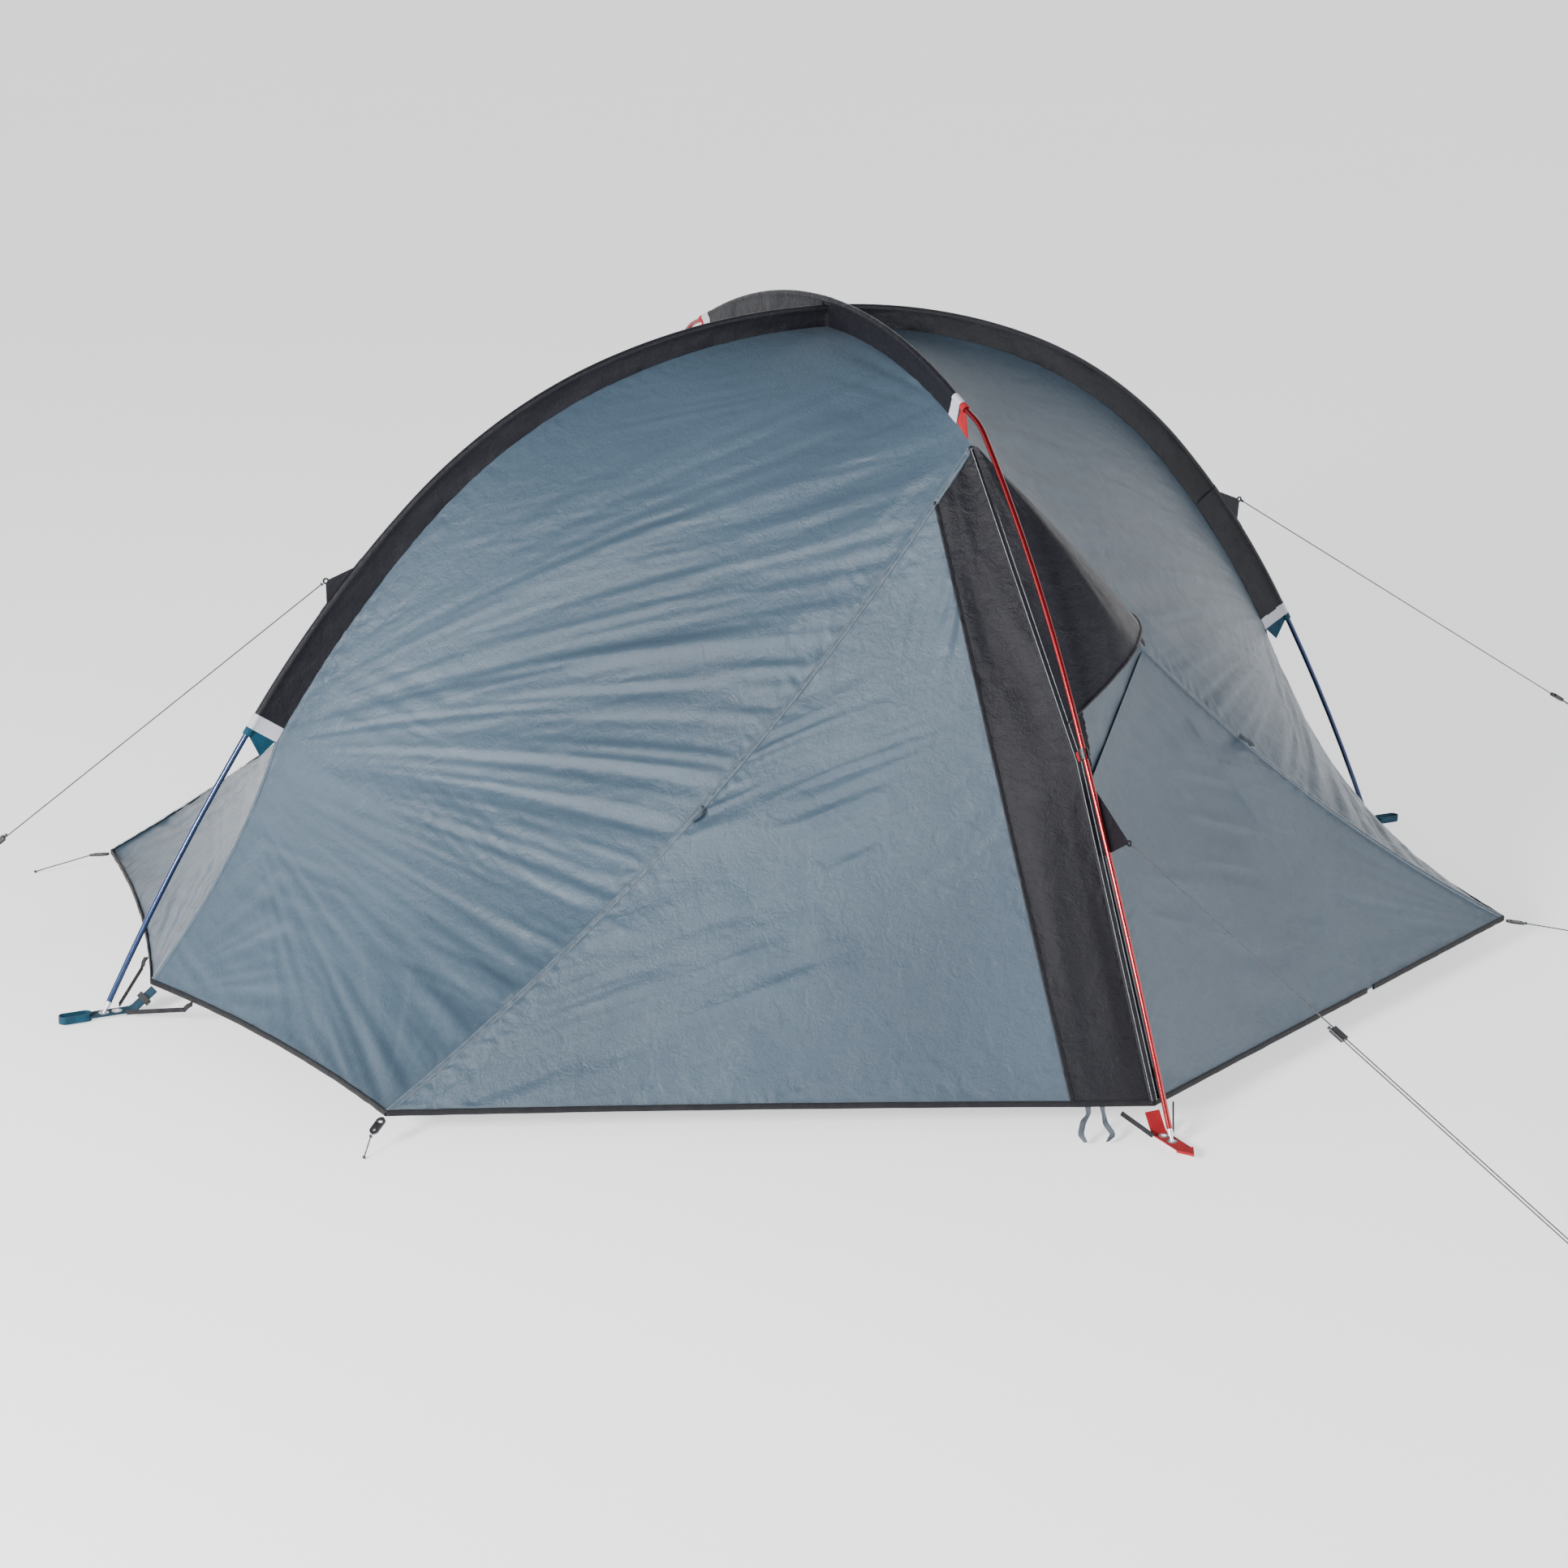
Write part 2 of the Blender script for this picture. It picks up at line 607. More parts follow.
SLEEVE_FOOT = np.array([0.984, 0.0, 0.396])
FAN_ANCHOR = SLEEVE_FOOT + np.array([0.12, 0.02, 0.08])
SIDE_HEM = hem(LONG_END, CORNER, 0.016)
FRONT_HEM = hem(SHORT_END, CORNER, 0.004)
side_base = patch(long_ridge, seam, short_ridge, SIDE_HEM, 300, 180)
side_edges = edge_distances(side_base)


def side_heights(seed, strength):
    """Folds of one upper panel: a wide fan from the sleeve's end, chatter, puckers at its edges."""
    to_sleeve, to_seam, from_top, to_hem = side_edges
    height = fan(side_base, FAN_ANCHOR, 1.50, 0.032, 0.15 * strength, seed,
                 inner=0.10, sector=(-88, 24), axis=(-1, -0.35, 0.1), life=0.34)
    height *= step(to_seam, 0.0, 0.05) * 0.65 + 0.35
    height *= step(to_sleeve, 0.0, 0.05)
    height += fan(side_base, CORNER + np.array([0.02, -0.01, -0.01]), 0.42, 0.10, 0.09 * strength, seed + 20,
                  inner=0.02, axis=(-0.2, 0.6, 0.6))
    height += fan(side_base, LONG_END + np.array([0.02, 0, -0.02]), 0.34, 0.10, 0.10 * strength, seed + 30,
                  inner=0.02, axis=(-0.6, -0.6, 0.2))
    height += fan(side_base, ELBOW + np.array([-0.04, 0.0, 0.02]), 0.40, 0.10, 0.06 * strength, seed + 40,
                  inner=0.05, axis=(1, 0.1, -0.2))
    height += streaks(side_base, (1, 0.3, 0), 0.017, 0.10, 0.0008, seed + 50, (0.55, -0.30, 0.66), 0.40)
    height += streaks(side_base, (1, 0.3, 0), 0.023, 0.13, 0.0011, seed + 55, (0.72, -0.20, 0.62), 0.30)
    height += streaks(side_base, (1, 0.2, 0), 0.026, 0.14, 0.0006, seed + 60, (0.30, -0.25, 0.90), 0.32)
    height += streaks(side_base, (-0.136, -0.625, -0.25), 0.026, 0.26, 0.0018, seed + 62,
                      (1.06, -0.34, 0.24), 0.44)
    height += streaks(side_base, (-0.30, -0.60, -0.12), 0.034, 0.24, 0.0020, seed + 66,
                      (0.92, -0.32, 0.36), 0.40)
    height += puckers(to_seam, from_top, 0.022, 0.024, 0.0022, seed + 70)
    height += puckers(to_sleeve, from_top, 0.024, 0.026, 0.0015, seed + 75)
    height += puckers(to_hem, to_sleeve, 0.024, 0.030, 0.0017, seed + 80)
    return height


for number, (place, (sx, sy)) in enumerate(SIDES.items()):
    cloth(f"fly_upper_{place}", f"fly_side_{place}", side_base, "fly_fabric",
          flips=(sx, sy), heights=side_heights(100 + 200 * number, 0.8 if place == "front_right" else 1.0))

band_edge_top = seam(BAND_AT)[0]
band_edge_foot = mix(SHORT_END, CORNER, BAND_WIDTH / np.linalg.norm(CORNER - SHORT_END))
spine_middle, seam_middle = spine(0.55)[0], seam(0.55)[0]
band_waist = mix(spine_middle, seam_middle, BAND_WIDTH / np.linalg.norm(seam_middle - spine_middle))


def band_edge(t):
    """Outer edge of the dark band: a gentle curve through its top, waist and foot."""
    t = column(t)
    return mix(mix(band_edge_top, band_waist, t), mix(band_waist, band_edge_foot, t), t)


def lower_heights(base, seed, strength):
    """Folds of a lower panel: near-level streaks off the seam, puckers, a fan at the hem corner."""
    to_inner, to_seam, from_top, to_hem = edge_distances(base)
    level = (1, -0.25, 0.10)
    height = streaks(base, level, 0.060, 0.30, 0.0048 * strength, seed, (0.60, -0.72, 0.33), 0.42)
    height += streaks(base, level, 0.032, 0.16, 0.0020 * strength, seed + 4, (0.50, -0.70, 0.40), 0.45)
    height += streaks(base, (0.9, -0.3, 0.0), 0.026, 0.12, 0.0012 * strength, seed + 8,
                      (0.30, -0.85, 0.25), 0.55)
    height += streaks(base, (0.1, -0.4, 1), 0.026, 0.10, 0.0020 * strength, seed + 12,
                      (0.08, -0.62, 0.70), 0.16)
    height += fan(base, CORNER + np.array([0.02, -0.02, -0.01]), 0.50, 0.09, 0.085 * strength, seed + 16,
                  inner=0.02, axis=(-1, -0.3, 0.5))
    height += puckers(to_seam, from_top, 0.022, 0.024, 0.0020, seed + 20)
    height += puckers(to_inner, from_top, 0.024, 0.022, 0.0012, seed + 24)
    height += puckers(to_hem, to_inner, 0.026, 0.026, 0.0015, seed + 28)
    return height


lower_base = patch(band_edge, span(seam, BAND_AT + 0.001, 1.0),
                   span(seam, BAND_AT, BAND_AT + 0.001), hem(band_edge_foot, CORNER, 0.004), 260, 190)
for place, flips, seed, strength in (("front_left", (-1, 1), 1000, 1.0), ("back_right", (1, -1), 1100, 0.9)):
    cloth(f"fly_lower_panel_{place}", f"fly_lower_{place}", lower_base, "fly_fabric",
          flips=flips, heights=lower_heights(lower_base, seed, strength))
back_base = patch(spine, span(seam, 0.001, 1.0), span(seam, 0.0, 0.001), FRONT_HEM, 260, 200)
cloth("fly_lower_panel_back_left", "fly_lower_back_left", back_base, "fly_fabric",
      flips=(-1, -1), heights=lower_heights(back_base, 1200, 0.9))

# Dark bands beside the spine, with soft upright folds.
band_base = patch(spine, band_edge, span(seam, 0.0, BAND_AT), straight(SHORT_END, band_edge_foot), 240, 36)


def band_heights(seed):
    to_spine, to_edge, from_top, to_hem = edge_distances(band_base)
    width = to_spine + to_edge
    across = to_spine / np.maximum(width, 1e-6)
    drift = 0.5 * noise(from_top / 0.22 + 3, across * 0 + 2, seed + 3)
    folds = noise(across * 2.6 + drift * 1.2 + 30, from_top / 0.30 + 4, seed)
    height = 0.0060 * folds * step(across, 0, 0.3) * step(across, 1, 0.7) * step(width, 0.0, 0.06)
    small = noise(across * 5 + drift * 2 + 30, from_top / 0.10 + 4, seed + 1)
    height += 0.0008 * small * step(width, 0.02, 0.08)
    height += puckers(to_spine, from_top, 0.018, 0.020, 0.0010, seed + 5)
    height += puckers(to_edge, from_top, 0.022, 0.018, 0.0009, seed + 6)
    return height


for place, flips, seed in (("front", (-1, 1), 1300), ("back", (1, -1), 1320)):
    cloth(f"{place}_band_cloth", f"{place}_band", band_base, "dark_fabric",
          flips=flips, heights=band_heights(seed))

# ---- door, zip, fixed panel, vent and hood -----------------------------------------------------------
FOLD_FOOT = mix(SHORT_END, CORNER, DOOR_FOLD_AT)
FOLD_HEAD = seam(DOOR_TOP)[0]
fold_line = straight(FOLD_HEAD, FOLD_FOOT)
zip_line, zip_side = beside_spine(ZIP_FLAP), beside_spine(ZIP_WIDTH)

zip_grid = patch(span(spine, ZIP_TOP - 0.02, 1.0), span(zip_side, ZIP_TOP - 0.02, 1.0),
                 straight(spine(ZIP_TOP - 0.02)[0], zip_side(ZIP_TOP - 0.02)[0]),
                 straight(SHORT_END, zip_side(1.0)[0]), 120, 10)
zip_from, _, zip_down, _ = edge_distances(zip_grid)
cloth("door_zip_tape", "door_zip", zip_grid, "zip_tape", edge_fade=0.004,
      heights=0.0016 * noise(zip_down / 0.05 + 3, zip_from / 0.03, 1400) - 0.002)

door_base = patch(span(zip_line, ZIP_TOP, 1.0), fold_line, straight(zip_line(ZIP_TOP)[0], FOLD_HEAD),
                  straight(zip_line(1.0)[0], FOLD_FOOT), 150, 170)


def door_heights(base, seed):
    to_zip, to_fold, from_top, to_hem = edge_distances(base)
    height = puckers(to_zip, from_top, 0.026, 0.030, 0.0024, seed)
    height += puckers(to_hem, to_zip, 0.026, 0.028, 0.0016, seed + 4)
    height += streaks(base, (0.7, 0.3, -0.9), 0.030, 0.10, 0.0012, seed + 8, (0.22, -0.72, 0.40), 0.30)
    height += streaks(base, (1, 0.2, -0.3), 0.060, 0.22, 0.0024, seed + 12, (0.35, -0.75, 0.30), 0.40)
    return height


cloth("door_cloth", "fly_door", door_base, "fly_fabric",
      heights=door_heights(door_base, 1500), body="door")

fixed_base = patch(fold_line, span(seam, DOOR_TOP, 1.0), span(seam, DOOR_TOP, DOOR_TOP + 0.001),
                   straight(FOLD_FOOT, CORNER), 170, 90)


def fixed_heights(base, seed):
    to_fold, to_seam, from_top, to_hem = edge_distances(base)
    height = puckers(to_seam, from_top, 0.022, 0.024, 0.0018, seed)
    height += puckers(to_hem, to_fold, 0.026, 0.030, 0.0018, seed + 4)
    height += fan(base, CORNER + np.array([0.02, -0.02, -0.01]), 0.55, 0.08, 0.08, seed + 8,
                  inner=0.02, axis=(-1, -0.3, 0.5))
    height += streaks(base, (1, 0.3, -0.5), 0.030, 0.14, 0.0018, seed + 12, (0.45, -0.62, 0.45), 0.25)
    return height


cloth("fly_lower_panel_front_right", "fly_lower_front_right", fixed_base, "fly_fabric",
      heights=fixed_heights(fixed_base, 1600))

# Vent: dark mesh high up, a sill of fly cloth along its lower outer edge.
vent_base = patch(span(spine, 0.004, ZIP_TOP + 0.015), span(seam, 0.004, VENT_AT + 0.014),
                  straight(spine(0.004)[0], seam(0.004)[0]),
                  straight(spine(ZIP_TOP + 0.015)[0], seam(VENT_AT + 0.014)[0]), 90, 70)
vent_normal = unit(np.cross(CORNER - ELBOW, SHORT_END - ELBOW))
vent_normal = vent_normal if vent_normal[1] < 0 else -vent_normal
vent_from, vent_to, vent_down, _ = edge_distances(vent_base)
vent_grid = vent_base - vent_normal * (0.0025 * step(np.minimum(vent_from, vent_to), 0, 0.02))[..., None]
vent_cloth = cloth("vent_mesh_cloth", "vent_mesh", vent_grid, "mesh_fabric",
                   heights=0.0015 * noise(vent_from / 0.05 + 5, vent_down / 0.12 + 5, 1700))
vent_cloth.data.materials.append(FINISHES["fly_fabric"].material)


def mark_sill(piece, grid):
    """Give the vent's lower outer faces the fly's cloth."""
    rows, columns = grid.shape[:2]
    u, v = np.meshgrid(np.linspace(0, 1, rows - 1), np.linspace(0, 1, columns - 1), indexing="ij")
    last = np.array(piece.data.vertices[-1].co)
    v = v[:, ::-1] if np.linalg.norm(last - grid[-1, -1]) > 0.02 else v
    sill = u > 1 - np.clip(1.2 * (v - 0.13), 0, 0.24)
    piece.data.polygons.foreach_set("material_index", sill.reshape(-1).astype(np.int32))


mark_sill(vent_cloth, vent_grid)


def hood_grid(rows, columns):
    """Vent hood: sewn down along the spine and the seam, its lower edge standing open as a brim."""
    u, v = np.linspace(0, 1, rows), np.linspace(0, 1, columns)
    near, far = spine(0.004 + 0.476 * u)[:, None], seam(0.004 + 0.286 * u)[:, None]
    uu, vv = u[:, None, None], v[None, :, None]
    base = mix(near, far, 0.01 + 0.99 * vv)
    rise = 0.002 + (HOOD_STANDOFF + HOOD_RISE * np.sin(math.pi / 2 * uu)) * np.sin(math.pi * 0.88 * vv)
    folds = 0.0035 * noise(vv[..., 0] * 6 + 20, uu[..., 0] * 1.6 + 4, 1800)
    folds += 0.0014 * noise(vv[..., 0] * 15 + 20, uu[..., 0] * 4 + 4, 1801)
    folds = folds * step(uu[..., 0], 0.02, 0.35) * np.sin(math.pi * vv[..., 0])
    return base + vent_normal * (rise + folds[..., None])


hood = hood_grid(100, 110)
cloth("vent_hood_cloth", "vent_hood", hood, "dark_fabric", edge_fade=0.0)


def swept(name, line, side, face, across, out, slot, finish=None, body="tent"):
    """Closed section carried along a line: across and out are its outline's places along side and face."""
    grid = line[:, None] + side[:, None] * across[None, :, None] + face[:, None] * out[None, :, None]
    piece = dress(mesh_piece(name, grid, closed=True), slot, finish)
    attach(piece, body)
    return piece


def piping(name, line, radius, slot):
    """Round cord sewn in along a line."""
    a = unit_rows(np.cross(along_line(line), [0.21, 0.13, 0.97]))
    turn = 2 * math.pi * np.arange(10) / 10
    swept(name, line, a, np.cross(along_line(line), a), radius * np.cos(turn), radius * np.sin(turn), slot)


piping("vent_hood_brim", hood[-1], 0.0028, "dark_fabric")

# ---- sleeves and their reflective tapes -----------------------------------------------------------------
LONG_POLE = (LONG_TOP, LONG_ARCS, LONG_R, LONG_DEPTH, LONG_SLEEVE_END + TAPE_WIDTH, (1, 0))
SHORT_POLE = (SHORT_TOP, SHORT_ARCS, SHORT_R, SHORT_DEPTH, SHORT_SLEEVE_END + TAPE_WIDTH, (0, 1))


def sleeve(name, pole, start, end, slot, grow=0.0, fin=1.0, seed=0, puckering=1.0):
    """Folded cloth sleeve: round over the pole, its two layers meeting at the fly's ridge."""
    top, arcs, radius, depths, arc_end, plane = pole
    rows = max(6, int(abs(end - start) / 0.0055))
    s = np.linspace(start, end, rows)
    reach = depth_at(depths, np.abs(s), arc_end) * fin
    round_r = radius + 0.0013 + grow
    arc = np.radians(np.linspace(-42, 90, 9))
    depth_share = np.array([1.0, 0.86, 0.70, 0.55, 0.42, 0.30])
    flank_w = np.array([0.0010, 0.0013, 0.0017, 0.0021, 0.0026, 0.0034]) + grow
    side_w = np.concatenate([flank_w, round_r * np.cos(arc)])
    w = np.concatenate([side_w, -side_w[-2::-1]])
    flank_d = depth_share[None] * reach[:, None]
    round_d = np.broadcast_to(-round_r * np.sin(arc), (rows, len(arc)))
    side_d = np.concatenate([flank_d, round_d], 1)
    d = np.concatenate([side_d, side_d[:, -2::-1]], 1)
    out, up, slope = chain_at(top, arcs, np.abs(s))
    side = np.where(s < 0, -1, 1)
    low = np.clip(d / reach[:, None], 0, 1)
    sway = 0.0016 * noise(s[:, None] / 0.060 + 50, d / 0.03 + 9, seed) * low * (1.02 - low) * 4
    wrinkle = 0.0010 * noise(s[:, None] / 0.014 + 50, d / 0.012 + 9, seed + 1) * low
    w = w[None] + puckering * (sway + wrinkle * np.sign(w)[None])
    reach_out = side[:, None] * (out[:, None] - d * np.sin(slope)[:, None])
    height = up[:, None] - d * np.cos(slope)[:, None]
    grid = np.zeros((*d.shape, 3))
    grid[..., 0] = reach_out * plane[0] + w * plane[1]
    grid[..., 1] = reach_out * plane[1] + w * plane[0]
    grid[..., 2] = height
    piece = dress(mesh_piece(name, grid), slot)
    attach(piece, "tent")
    return piece


long_cloth = sleeve("long_sleeve_cloth", LONG_POLE, -LONG_SLEEVE_END, LONG_SLEEVE_END, "dark_fabric", seed=1900)
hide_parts("long_sleeve")
CROSSING = 0.010
crossing = sleeve("short_sleeve_crossing", SHORT_POLE, -0.014, 0.014, "dark_fabric", grow=0.0003, fin=0.2,
                  puckering=0.1, seed=1930)
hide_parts("short_sleeve")
for name, side in (("front", -1), ("back", 1)):
    sleeve(f"short_sleeve_{name}", SHORT_POLE, side * CROSSING, side * SHORT_SLEEVE_END, "dark_fabric",
           seed=1910 + side)
for name, side in (("left", -1), ("right", 1)):
    sleeve(f"guy_patch_{name}", LONG_POLE, side * 0.915, side * 1.020, "dark_fabric", grow=0.0006, seed=1905)
for name, pole, end in (("long", LONG_POLE, LONG_SLEEVE_END), ("short", SHORT_POLE, SHORT_SLEEVE_END)):
    for side_name, side in (("minus", -1), ("plus", 1)):
        sleeve(f"tape_{name}_{side_name}", pole, side * (end - 0.002),
                            side * (end + TAPE_WIDTH), "reflective_tape", grow=0.0007, puckering=0.4,
                            seed=1950 + side)
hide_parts("sleeve_tapes")


# ---- hem bindings ----------------------------------------------------------------------------------------
def binding(name, line, body="tent", height=0.0095, half=0.0017, steps=120):
    """Tape folded over the cloth's edge: a slim rounded strip along the hem."""
    points = line(np.linspace(0, 1, steps))
    side = unit_rows(np.cross(along_line(points), [0, 0, 1.0]))
    turn = 2 * math.pi * np.arange(12) / 12
    wide = half * np.sign(np.cos(turn)) * np.abs(np.cos(turn)) ** 0.6
    tall = height / 2 * np.sign(np.sin(turn)) * np.abs(np.sin(turn)) ** 0.5
    ripple = 0.0006 * noise(np.linspace(0, steps / 4, steps), np.full(steps, 3.0), 2000)
    up = np.broadcast_to([0, 0, 1.0], side.shape)
    return swept(name, points + side * ripple[:, None], side, up, wide, tall, "dark_fabric", "zip_tape", body)


def flipped(line, sx, sy):
    return lambda t: line(t) * np.array([sx, sy, 1])


hems = [binding(f"hem_side_{place}", flipped(SIDE_HEM, sx, sy)) for place, (sx, sy) in SIDES.items()]
door_foot = zip_line(1.0)[0]
band_foot = straight(SHORT_END, band_edge_foot)
beside_band = hem(band_edge_foot, CORNER, 0.004)
binding("hem_front_band", flipped(band_foot, -1, 1), steps=30)
binding("hem_front_left", flipped(beside_band, -1, 1))
binding("hem_back_band", flipped(band_foot, 1, -1), steps=30)
binding("hem_back_right", flipped(beside_band, 1, -1))
binding("hem_back_left", flipped(FRONT_HEM, -1, -1))
binding("hem_zip", straight(SHORT_END, zip_side(1.0)[0]), steps=12)
binding("hem_front_right", straight(mix(FOLD_FOOT, CORNER, 0.02), CORNER))
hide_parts("hem_binding")
door_hem = binding("hem_door", straight(door_foot, mix(door_foot, FOLD_FOOT, 0.98)), body="door")
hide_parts("door_hem_binding")


# ---- seams and stitching ------------------------------------------------------------------------------------
def outward_frame(points):
    """Sideways and outward directions of the tent's skin along a line."""
    run = along_line(points)
    out = points * np.array([0.55, 1.0, 1.4])
    out = unit_rows(out - np.sum(out * run, axis=1, keepdims=True) * run)
    return np.cross(run, out), out


def seam_tape(name, line, width=0.010, lift=0.0012, pucker=0.0007, seed=0, slot="fly_fabric", steps=420):
    """Flat-felled seam: a narrow raised strip that hides where two panels meet."""
    points = line(np.linspace(0, 1, steps))
    side, out = outward_frame(points)
    share = np.array([-1, -0.8, -0.35, 0, 0.35, 0.8, 1.0])
    rise = lift * np.array([-0.6, 0.9, 1.1, 1.0, 1.1, 0.9, -0.6])
    crinkle = pucker * noise(lengths_along(points)[:, None] / 0.0055 + 9, share[None] * 1.3 + 5, seed)
    grid = points[:, None] + side[:, None] * (share * width / 2)[None, :, None]
    piece = dress(mesh_piece(name, grid + out[:, None] * (rise[None] + crinkle)[..., None]), slot)
    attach(piece, "tent")


def stitches(name, line, offsets, lift, finish="stitching", pitch=0.0042, stitch=0.0030, thick=0.0005):
    """Rows of short thread stitches along a line, all in one piece."""
    points = line(np.linspace(0, 1, 2000))
    length = lengths_along(points)
    side, out = outward_frame(points)
    corners, quads = [], []
    for offset in offsets:
        for start in np.arange(0.004, length[-1] - 0.004, pitch):
            base = len(corners)
            for share in (0, 0.5, 1):
                i = min(int(np.searchsorted(length, start + stitch * share)), len(points) - 1)
                centre = points[i] + side[i] * offset
                high = lift + (thick if share == 0.5 else 0.0)
                foot = centre + out[i] * (high - thick)
                corners += [foot - side[i] * thick, centre + out[i] * (high + thick), foot + side[i] * thick]
            quads += [(base + k, base + k + 3, base + k + 4, base + k + 1) for k in (0, 1, 3, 4)]
    mesh = bpy.data.meshes.new(name)
    mesh.from_pydata([tuple(corner) for corner in corners], [], quads)
    piece = dress(link(bpy.data.objects.new(name, mesh)), "fly_fabric", finish)
    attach(piece, "tent")


def below_tape(t):
    first = (LONG_SLEEVE_END + TAPE_WIDTH) / (LONG_SLEEVE_END + TAPE_WIDTH + 0.420)
    return long_ridge(first + (1 - first) * np.atleast_1d(t))


for number, (place, (sx, sy)) in enumerate(SIDES.items()):
    seam_tape(f"seam_{place}", flipped(span(seam, 0.0, 1.0), sx, sy), seed=2100 + number)
    stitches(f"seam_stitches_{place}", flipped(span(seam, 0.0, 1.0), sx, sy), (-0.0030, 0.0030), 0.0024)
for name, side in (("left", -1), ("right", 1)):
    seam_tape(f"end_seam_{name}", flipped(below_tape, side, 1), width=0.007, seed=2120, pucker=0.0004,
              steps=160)
    stitches(f"end_stitches_{name}", flipped(below_tape, side, 1), (0.0,), 0.0019)
for name, side in (("front", 1), ("back", -1)):
    seam_tape(f"spine_{name}", flipped(spine, side, side), width=0.013, slot="dark_fabric", seed=2140,
              pucker=0.0005, steps=300)
    stitches(f"spine_stitches_{name}", flipped(spine, side, side), (-0.0042, 0.0042), 0.0024, pitch=0.0036)
    edge = flipped(band_edge, -side, side)
    seam_tape(f"band_edge_{name}", edge, width=0.009, slot="dark_fabric", seed=2150, pucker=0.0005,
              steps=300)
    stitches(f"band_stitches_{name}", edge, (0.0,), 0.0021, finish="black_webbing")

# ---- inner tent and groundsheet ------------------------------------------------------------------------

def around(corners, columns):
    """Points evenly spaced round a closed outline."""
    corners = np.asarray(corners, float)
    loop = np.concatenate([corners, corners[:1]])
    length = lengths_along(loop)
    at = np.linspace(0, length[-1], columns)
    return np.stack([np.interp(at, length, loop[:, k]) for k in range(3)], -1)


def inner_sheet(name, node, grid, slot, crumple, body="tent", faces_out=True):
    x, y = grid[..., 0] + grid[..., 1] * 0.7, grid[..., 2] + grid[..., 1] * 0.3
    wide = noise(x / 0.09 + 30, y / 0.16 + 30, 2200)
    heights = crumple * (wide + 0.4 * noise(x / 0.03 + 30, y / 0.05 + 30, 2201))
    return cloth(name, node, grid, slot, heights=heights, body=body,
                 faces_out=faces_out)


tub_outline = around([(TUB_X, 0, 0), (SIDE_X, SIDE_Y, 0), (-SIDE_X, SIDE_Y, 0), (-TUB_X, 0, 0),
                      (-SIDE_X, -SIDE_Y, 0), (SIDE_X, -SIDE_Y, 0)], 360)
wall_shares = np.linspace(1, 0.06, 12)
floor_shares = np.linspace(0.992, 0.02, 60)
tub_grid = np.concatenate([tub_outline[None] * 0.999 + np.array([0, 0, TUB_TOP]) * wall_shares[:, None, None],
                           tub_outline[None] * floor_shares[:, None, None] + np.array([0, 0, 0.0035])])
tub_heights = 0.0014 * noise(tub_grid[..., 0] / 0.06 + 60, tub_grid[..., 1] / 0.06 + 60, 2210)
tub_normals = grid_normals(tub_grid) * np.array([1, 1, 0.6])
tub_grid = tub_grid + tub_normals * (tub_heights * step(tub_grid[..., 2], TUB_TOP, 0.10))[..., None]
tub = dress(mesh_piece("groundsheet_tub", tub_grid), "groundsheet_fabric")
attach(tub, "tent")
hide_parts("groundsheet")


def wall_at(side, x, share):
    """Point on a long side wall of the inner tent."""
    return np.array([x, side * (SIDE_Y + (ROOF_Y - SIDE_Y) * share), WALL_FOOT + (ROOF_Z - WALL_FOOT) * share])


def flat_patch(a, b, c, d, rows, columns):
    """Grid over four corners: a and b below, c above b, d above a."""
    return patch(straight(a, d), straight(b, c), straight(a, b), straight(d, c), rows, columns)


def door_corners(grow):
    low, high = DOOR_LOW - grow / 0.7, DOOR_HIGH + grow / 0.7
    return [wall_at(-1, -DOOR_HALF - grow, low), wall_at(-1, DOOR_HALF + grow, low),
            wall_at(-1, DOOR_HALF - 0.06 + grow, high), wall_at(-1, -DOOR_HALF + 0.06 - grow, high)]


def wall_corners(side):
    return [wall_at(side, -SIDE_X + 0.006, 0), wall_at(side, SIDE_X - 0.006, 0),
            wall_at(side, ROOF_X - 0.006, 0.985), wall_at(side, -ROOF_X + 0.006, 0.985)]


def outline_points(corners, per_side):
    edges = [mix(np.asarray(a), np.asarray(b), column(np.linspace(0, 1, per_side + 1)[:-1]))
             for a, b in zip(corners, corners[1:] + corners[:1])]
    return np.concatenate(edges + [np.asarray(corners[:1])])


ring_shares = np.linspace(0, 1, 70)[:, None, None]
front_ring = mix(outline_points(wall_corners(-1), 80)[None], outline_points(door_corners(0.003), 80)[None],
                 ring_shares)
inner_sheet("inner_front_cloth", "inner_front_wall", front_ring, "inner_fabric", 0.0022)
inner_sheet("inner_back_cloth", "inner_back_wall", flat_patch(*wall_corners(1), 150, 110), "inner_fabric",
            0.0030)
inner_sheet("inner_door_cloth", "inner_door", flat_patch(*door_corners(0.0), 80, 80), "inner_fabric",
            0.0014, body="inner_door_body")
for name, side in (("left", -1), ("right", 1)):
    foot = [np.array([side * (SIDE_X - 0.001), -SIDE_Y + 0.012, WALL_FOOT]),
            np.array([side * (TUB_X - 0.006), 0, WALL_FOOT]),
            np.array([side * (SIDE_X - 0.001), SIDE_Y - 0.012, WALL_FOOT])]
    share = np.linspace(0, 1, 160)
    along_foot = np.stack([np.interp(share, [0, 0.44, 0.56, 1], [foot[0][k], foot[1][k], foot[1][k], foot[2][k]])
                           for k in range(3)], -1)
    along_foot[:, 1] += 0.02 * (share - 0.5)
    head = np.array([[side * (ROOF_X + 0.006), (ROOF_Y - 0.004) * (2 * t - 1), ROOF_Z - 0.010]
                     for t in 0.5 - 0.5 * np.cos(math.pi * np.clip((share - 0.2) / 0.6, 0, 1))])
    head[:, 1] += 0.004 * (share - 0.5)
    grid = mix(along_foot[None], head[None], np.linspace(0, 1, 120)[:, None, None])
    inner_sheet(f"inner_end_{name}", None, grid, "inner_fabric", 0.0022)
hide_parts("inner_end_walls")
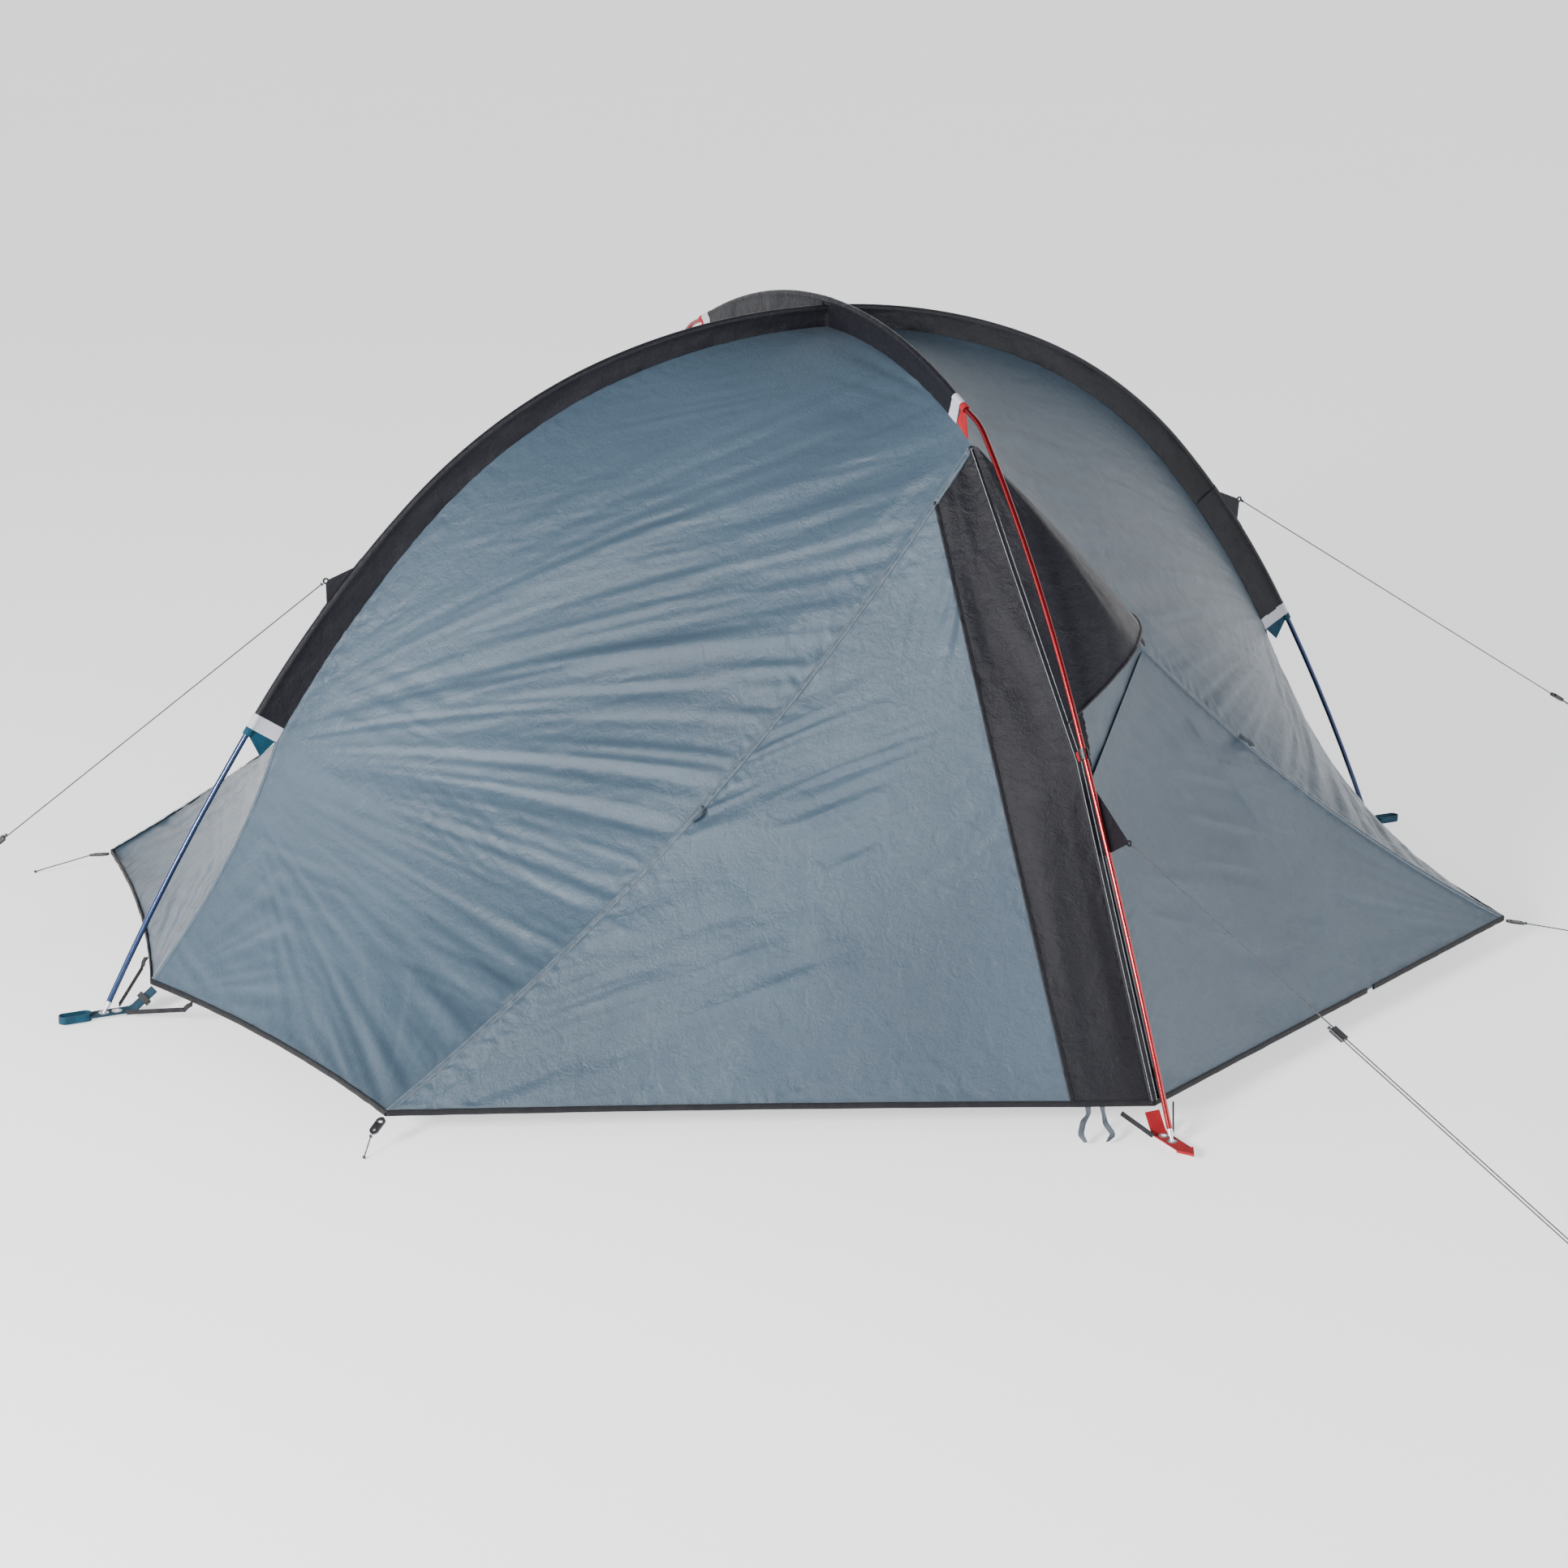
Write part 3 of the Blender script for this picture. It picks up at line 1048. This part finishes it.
roof_grid = flat_patch(np.array([-ROOF_X, -ROOF_Y, ROOF_Z]), np.array([ROOF_X, -ROOF_Y, ROOF_Z]),
                       np.array([ROOF_X, ROOF_Y, ROOF_Z]), np.array([-ROOF_X, ROOF_Y, ROOF_Z]), 60, 100)
roof_from, roof_to, roof_down, roof_up = edge_distances(roof_grid)
roof_edge = np.minimum(np.minimum(roof_from, roof_to), np.minimum(roof_down, roof_up))
roof_grid = roof_grid - np.array([0, 0, 0.010]) * step(roof_edge, 0, 0.16)[..., None]
inner_sheet("inner_roof_cloth", "inner_roof", roof_grid, "inner_fabric", 0.0012)


# ---- door ties and tie loops -------------------------------------------------------------------------------
def strap(name, points, across, width, thick, slot, finish=None, body="tent", steps=60, twist=0.0):
    """Narrow woven ribbon along a smooth line through its points."""
    points = np.asarray(points, float)
    at = lengths_along(points)
    t = np.linspace(0, at[-1], steps)
    line = np.stack([np.interp(t, at, points[:, k]) for k in range(3)], -1)
    for _ in range(steps // 5):
        line[1:-1] = (line[:-2] + 2 * line[1:-1] + line[2:]) / 4
    run = along_line(line)
    side = unit_rows(unit(across) - run * (run @ unit(across))[:, None])
    face = np.cross(run, side)
    turned = twist * np.sin(2.4 * math.pi * t / at[-1])[:, None]
    side, face = np.cos(turned) * side + np.sin(turned) * face, np.cos(turned) * face - np.sin(turned) * side
    w = np.array([-1, -0.96, -0.5, 0, 0.5, 0.96, 1, 0.96, 0.5, 0, -0.5, -0.96]) * width / 2
    h = np.array([0, 1, 1.25, 1.3, 1.25, 1, 0, -1, -1.25, -1.3, -1.25, -1]) * thick / 2
    return swept(name, line, side, face, w, h, slot, finish, body)


for name, x_side, y_side in (("front_left", -1, -1), ("back_left", -1, 1), ("front_right", 1, -1),
                             ("back_right", 1, 1)):
    along_hem = mix(LONG_END * (x_side, y_side, 1), CORNER * (x_side, -y_side, 1), 0.16)
    foot = along_hem + (x_side * 0.003, 0, -0.014)
    strap(f"base_strap_end_{name}", [foot, foot + (-x_side * 0.004, y_side * 0.006, 0.007),
                                     foot + (-x_side * 0.010, y_side * 0.010, 0.012)],
          (0, 1, 0), 0.012, 0.0012, "black_webbing", steps=16)
tie_long = strap("door_tie_long", [(-0.090, -1.006, 0.046), (-0.092, -1.012, 0.036), (-0.108, -1.022, 0.030),
                                   (-0.118, -1.032, 0.016), (-0.112, -1.038, 0.005)],
                 (0.6, -0.8, 0), 0.009, 0.0009, "black_webbing", "grey_webbing", twist=0.5)
strap("door_tie_short", [(-0.070, -1.013, 0.046), (-0.072, -1.021, 0.036), (-0.076, -1.033, 0.026),
                         (-0.068, -1.043, 0.012), (-0.082, -1.050, 0.006)],
      (0.6, -0.8, 0), 0.008, 0.0009, "black_webbing", "grey_webbing", twist=0.7)
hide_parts("door_ties")
for name, side in (("left", -1), ("right", 1)):
    place = seam(0.52)[0] * (side, 1, 1) + unit((side * 8, -4, 12)) * 0.004
    strap(f"tie_loop_{name}", [place, place + (side * 0.002, -0.009, -0.003), place + (side * 0.012, -0.014, -0.008),
                               place + (side * 0.020, -0.010, -0.017)], (0, 0.8, -0.6), 0.010, 0.0010,
          "black_webbing", "grey_webbing", steps=30)

# ---- finish the frame's own parts ---------------------------------------------------------------------
for part in frame["record"]["subparts"]:
    dress(frame["nodes"][part["node"]], part["material_slot"])

# ---- floor and light -----------------------------------------------------------------------------------
def add_stage():
    floor_z = -0.0005
    grid = np.array([[(x, y, floor_z) for y in (-60.0, 60.0)] for x in (-60.0, 60.0)])
    floor = mesh_piece("floor", grid)
    finish = Finish("floor_paper", Emission_Color=(1.0, 1.0, 1.0, 1.0), Emission_Strength=0.9)
    finish.colour(finish.between(finish.noise(0.8, 2.0), (0.90, 0.90, 0.90), (0.93, 0.93, 0.93)))
    finish.roughness(finish.noise(12.0, 2.0), 0.85, 0.95)
    floor.data.materials.append(finish.material)


def area_light(name, place, target, size, power, colour):
    lamp = bpy.data.lights.new(name, "AREA")
    lamp.shape, lamp.size, lamp.energy, lamp.color = "DISK", size, power, colour
    obj = link(bpy.data.objects.new(name, lamp))
    obj.location = place
    obj.rotation_euler = (Vector(target) - Vector(place)).to_track_quat("-Z", "Y").to_euler()


add_stage()
area_light("key", (-5.4, -3.0, 2.3), (0, 0, 0.4), 1.4, 700, (1.0, 0.99, 0.97))
area_light("fill", (3.5, -5.0, 2.0), (0, 0, 0.4), 3.5, 150, (0.96, 0.98, 1.0))
area_light("side", (-5.5, 0.5, 1.2), (0, 0, 0.4), 2.5, 50, (0.97, 0.98, 1.0))


def add_world():
    """Soft studio surround: bright walls, a dimmer ceiling."""
    world = bpy.data.worlds.new("studio")
    world.use_nodes = True
    tree = world.node_tree
    place = tree.nodes.new("ShaderNodeTexCoord")
    split = tree.nodes.new("ShaderNodeSeparateXYZ")
    ramp = tree.nodes.new("ShaderNodeValToRGB")
    tree.links.new(place.outputs["Generated"], split.inputs[0])
    tree.links.new(split.outputs["Z"], ramp.inputs[0])
    tree.links.new(ramp.outputs["Color"], tree.nodes["Background"].inputs["Color"])
    ramp.color_ramp.elements[0].color = (1.0, 1.0, 1.0, 1)
    ramp.color_ramp.elements[1].color = (0.12, 0.13, 0.15, 1)
    ramp.color_ramp.elements[0].position = 0.25
    ramp.color_ramp.elements[1].position = 0.70
    tree.nodes["Background"].inputs["Strength"].default_value = 1.55
    bpy.context.scene.world = world


add_world()
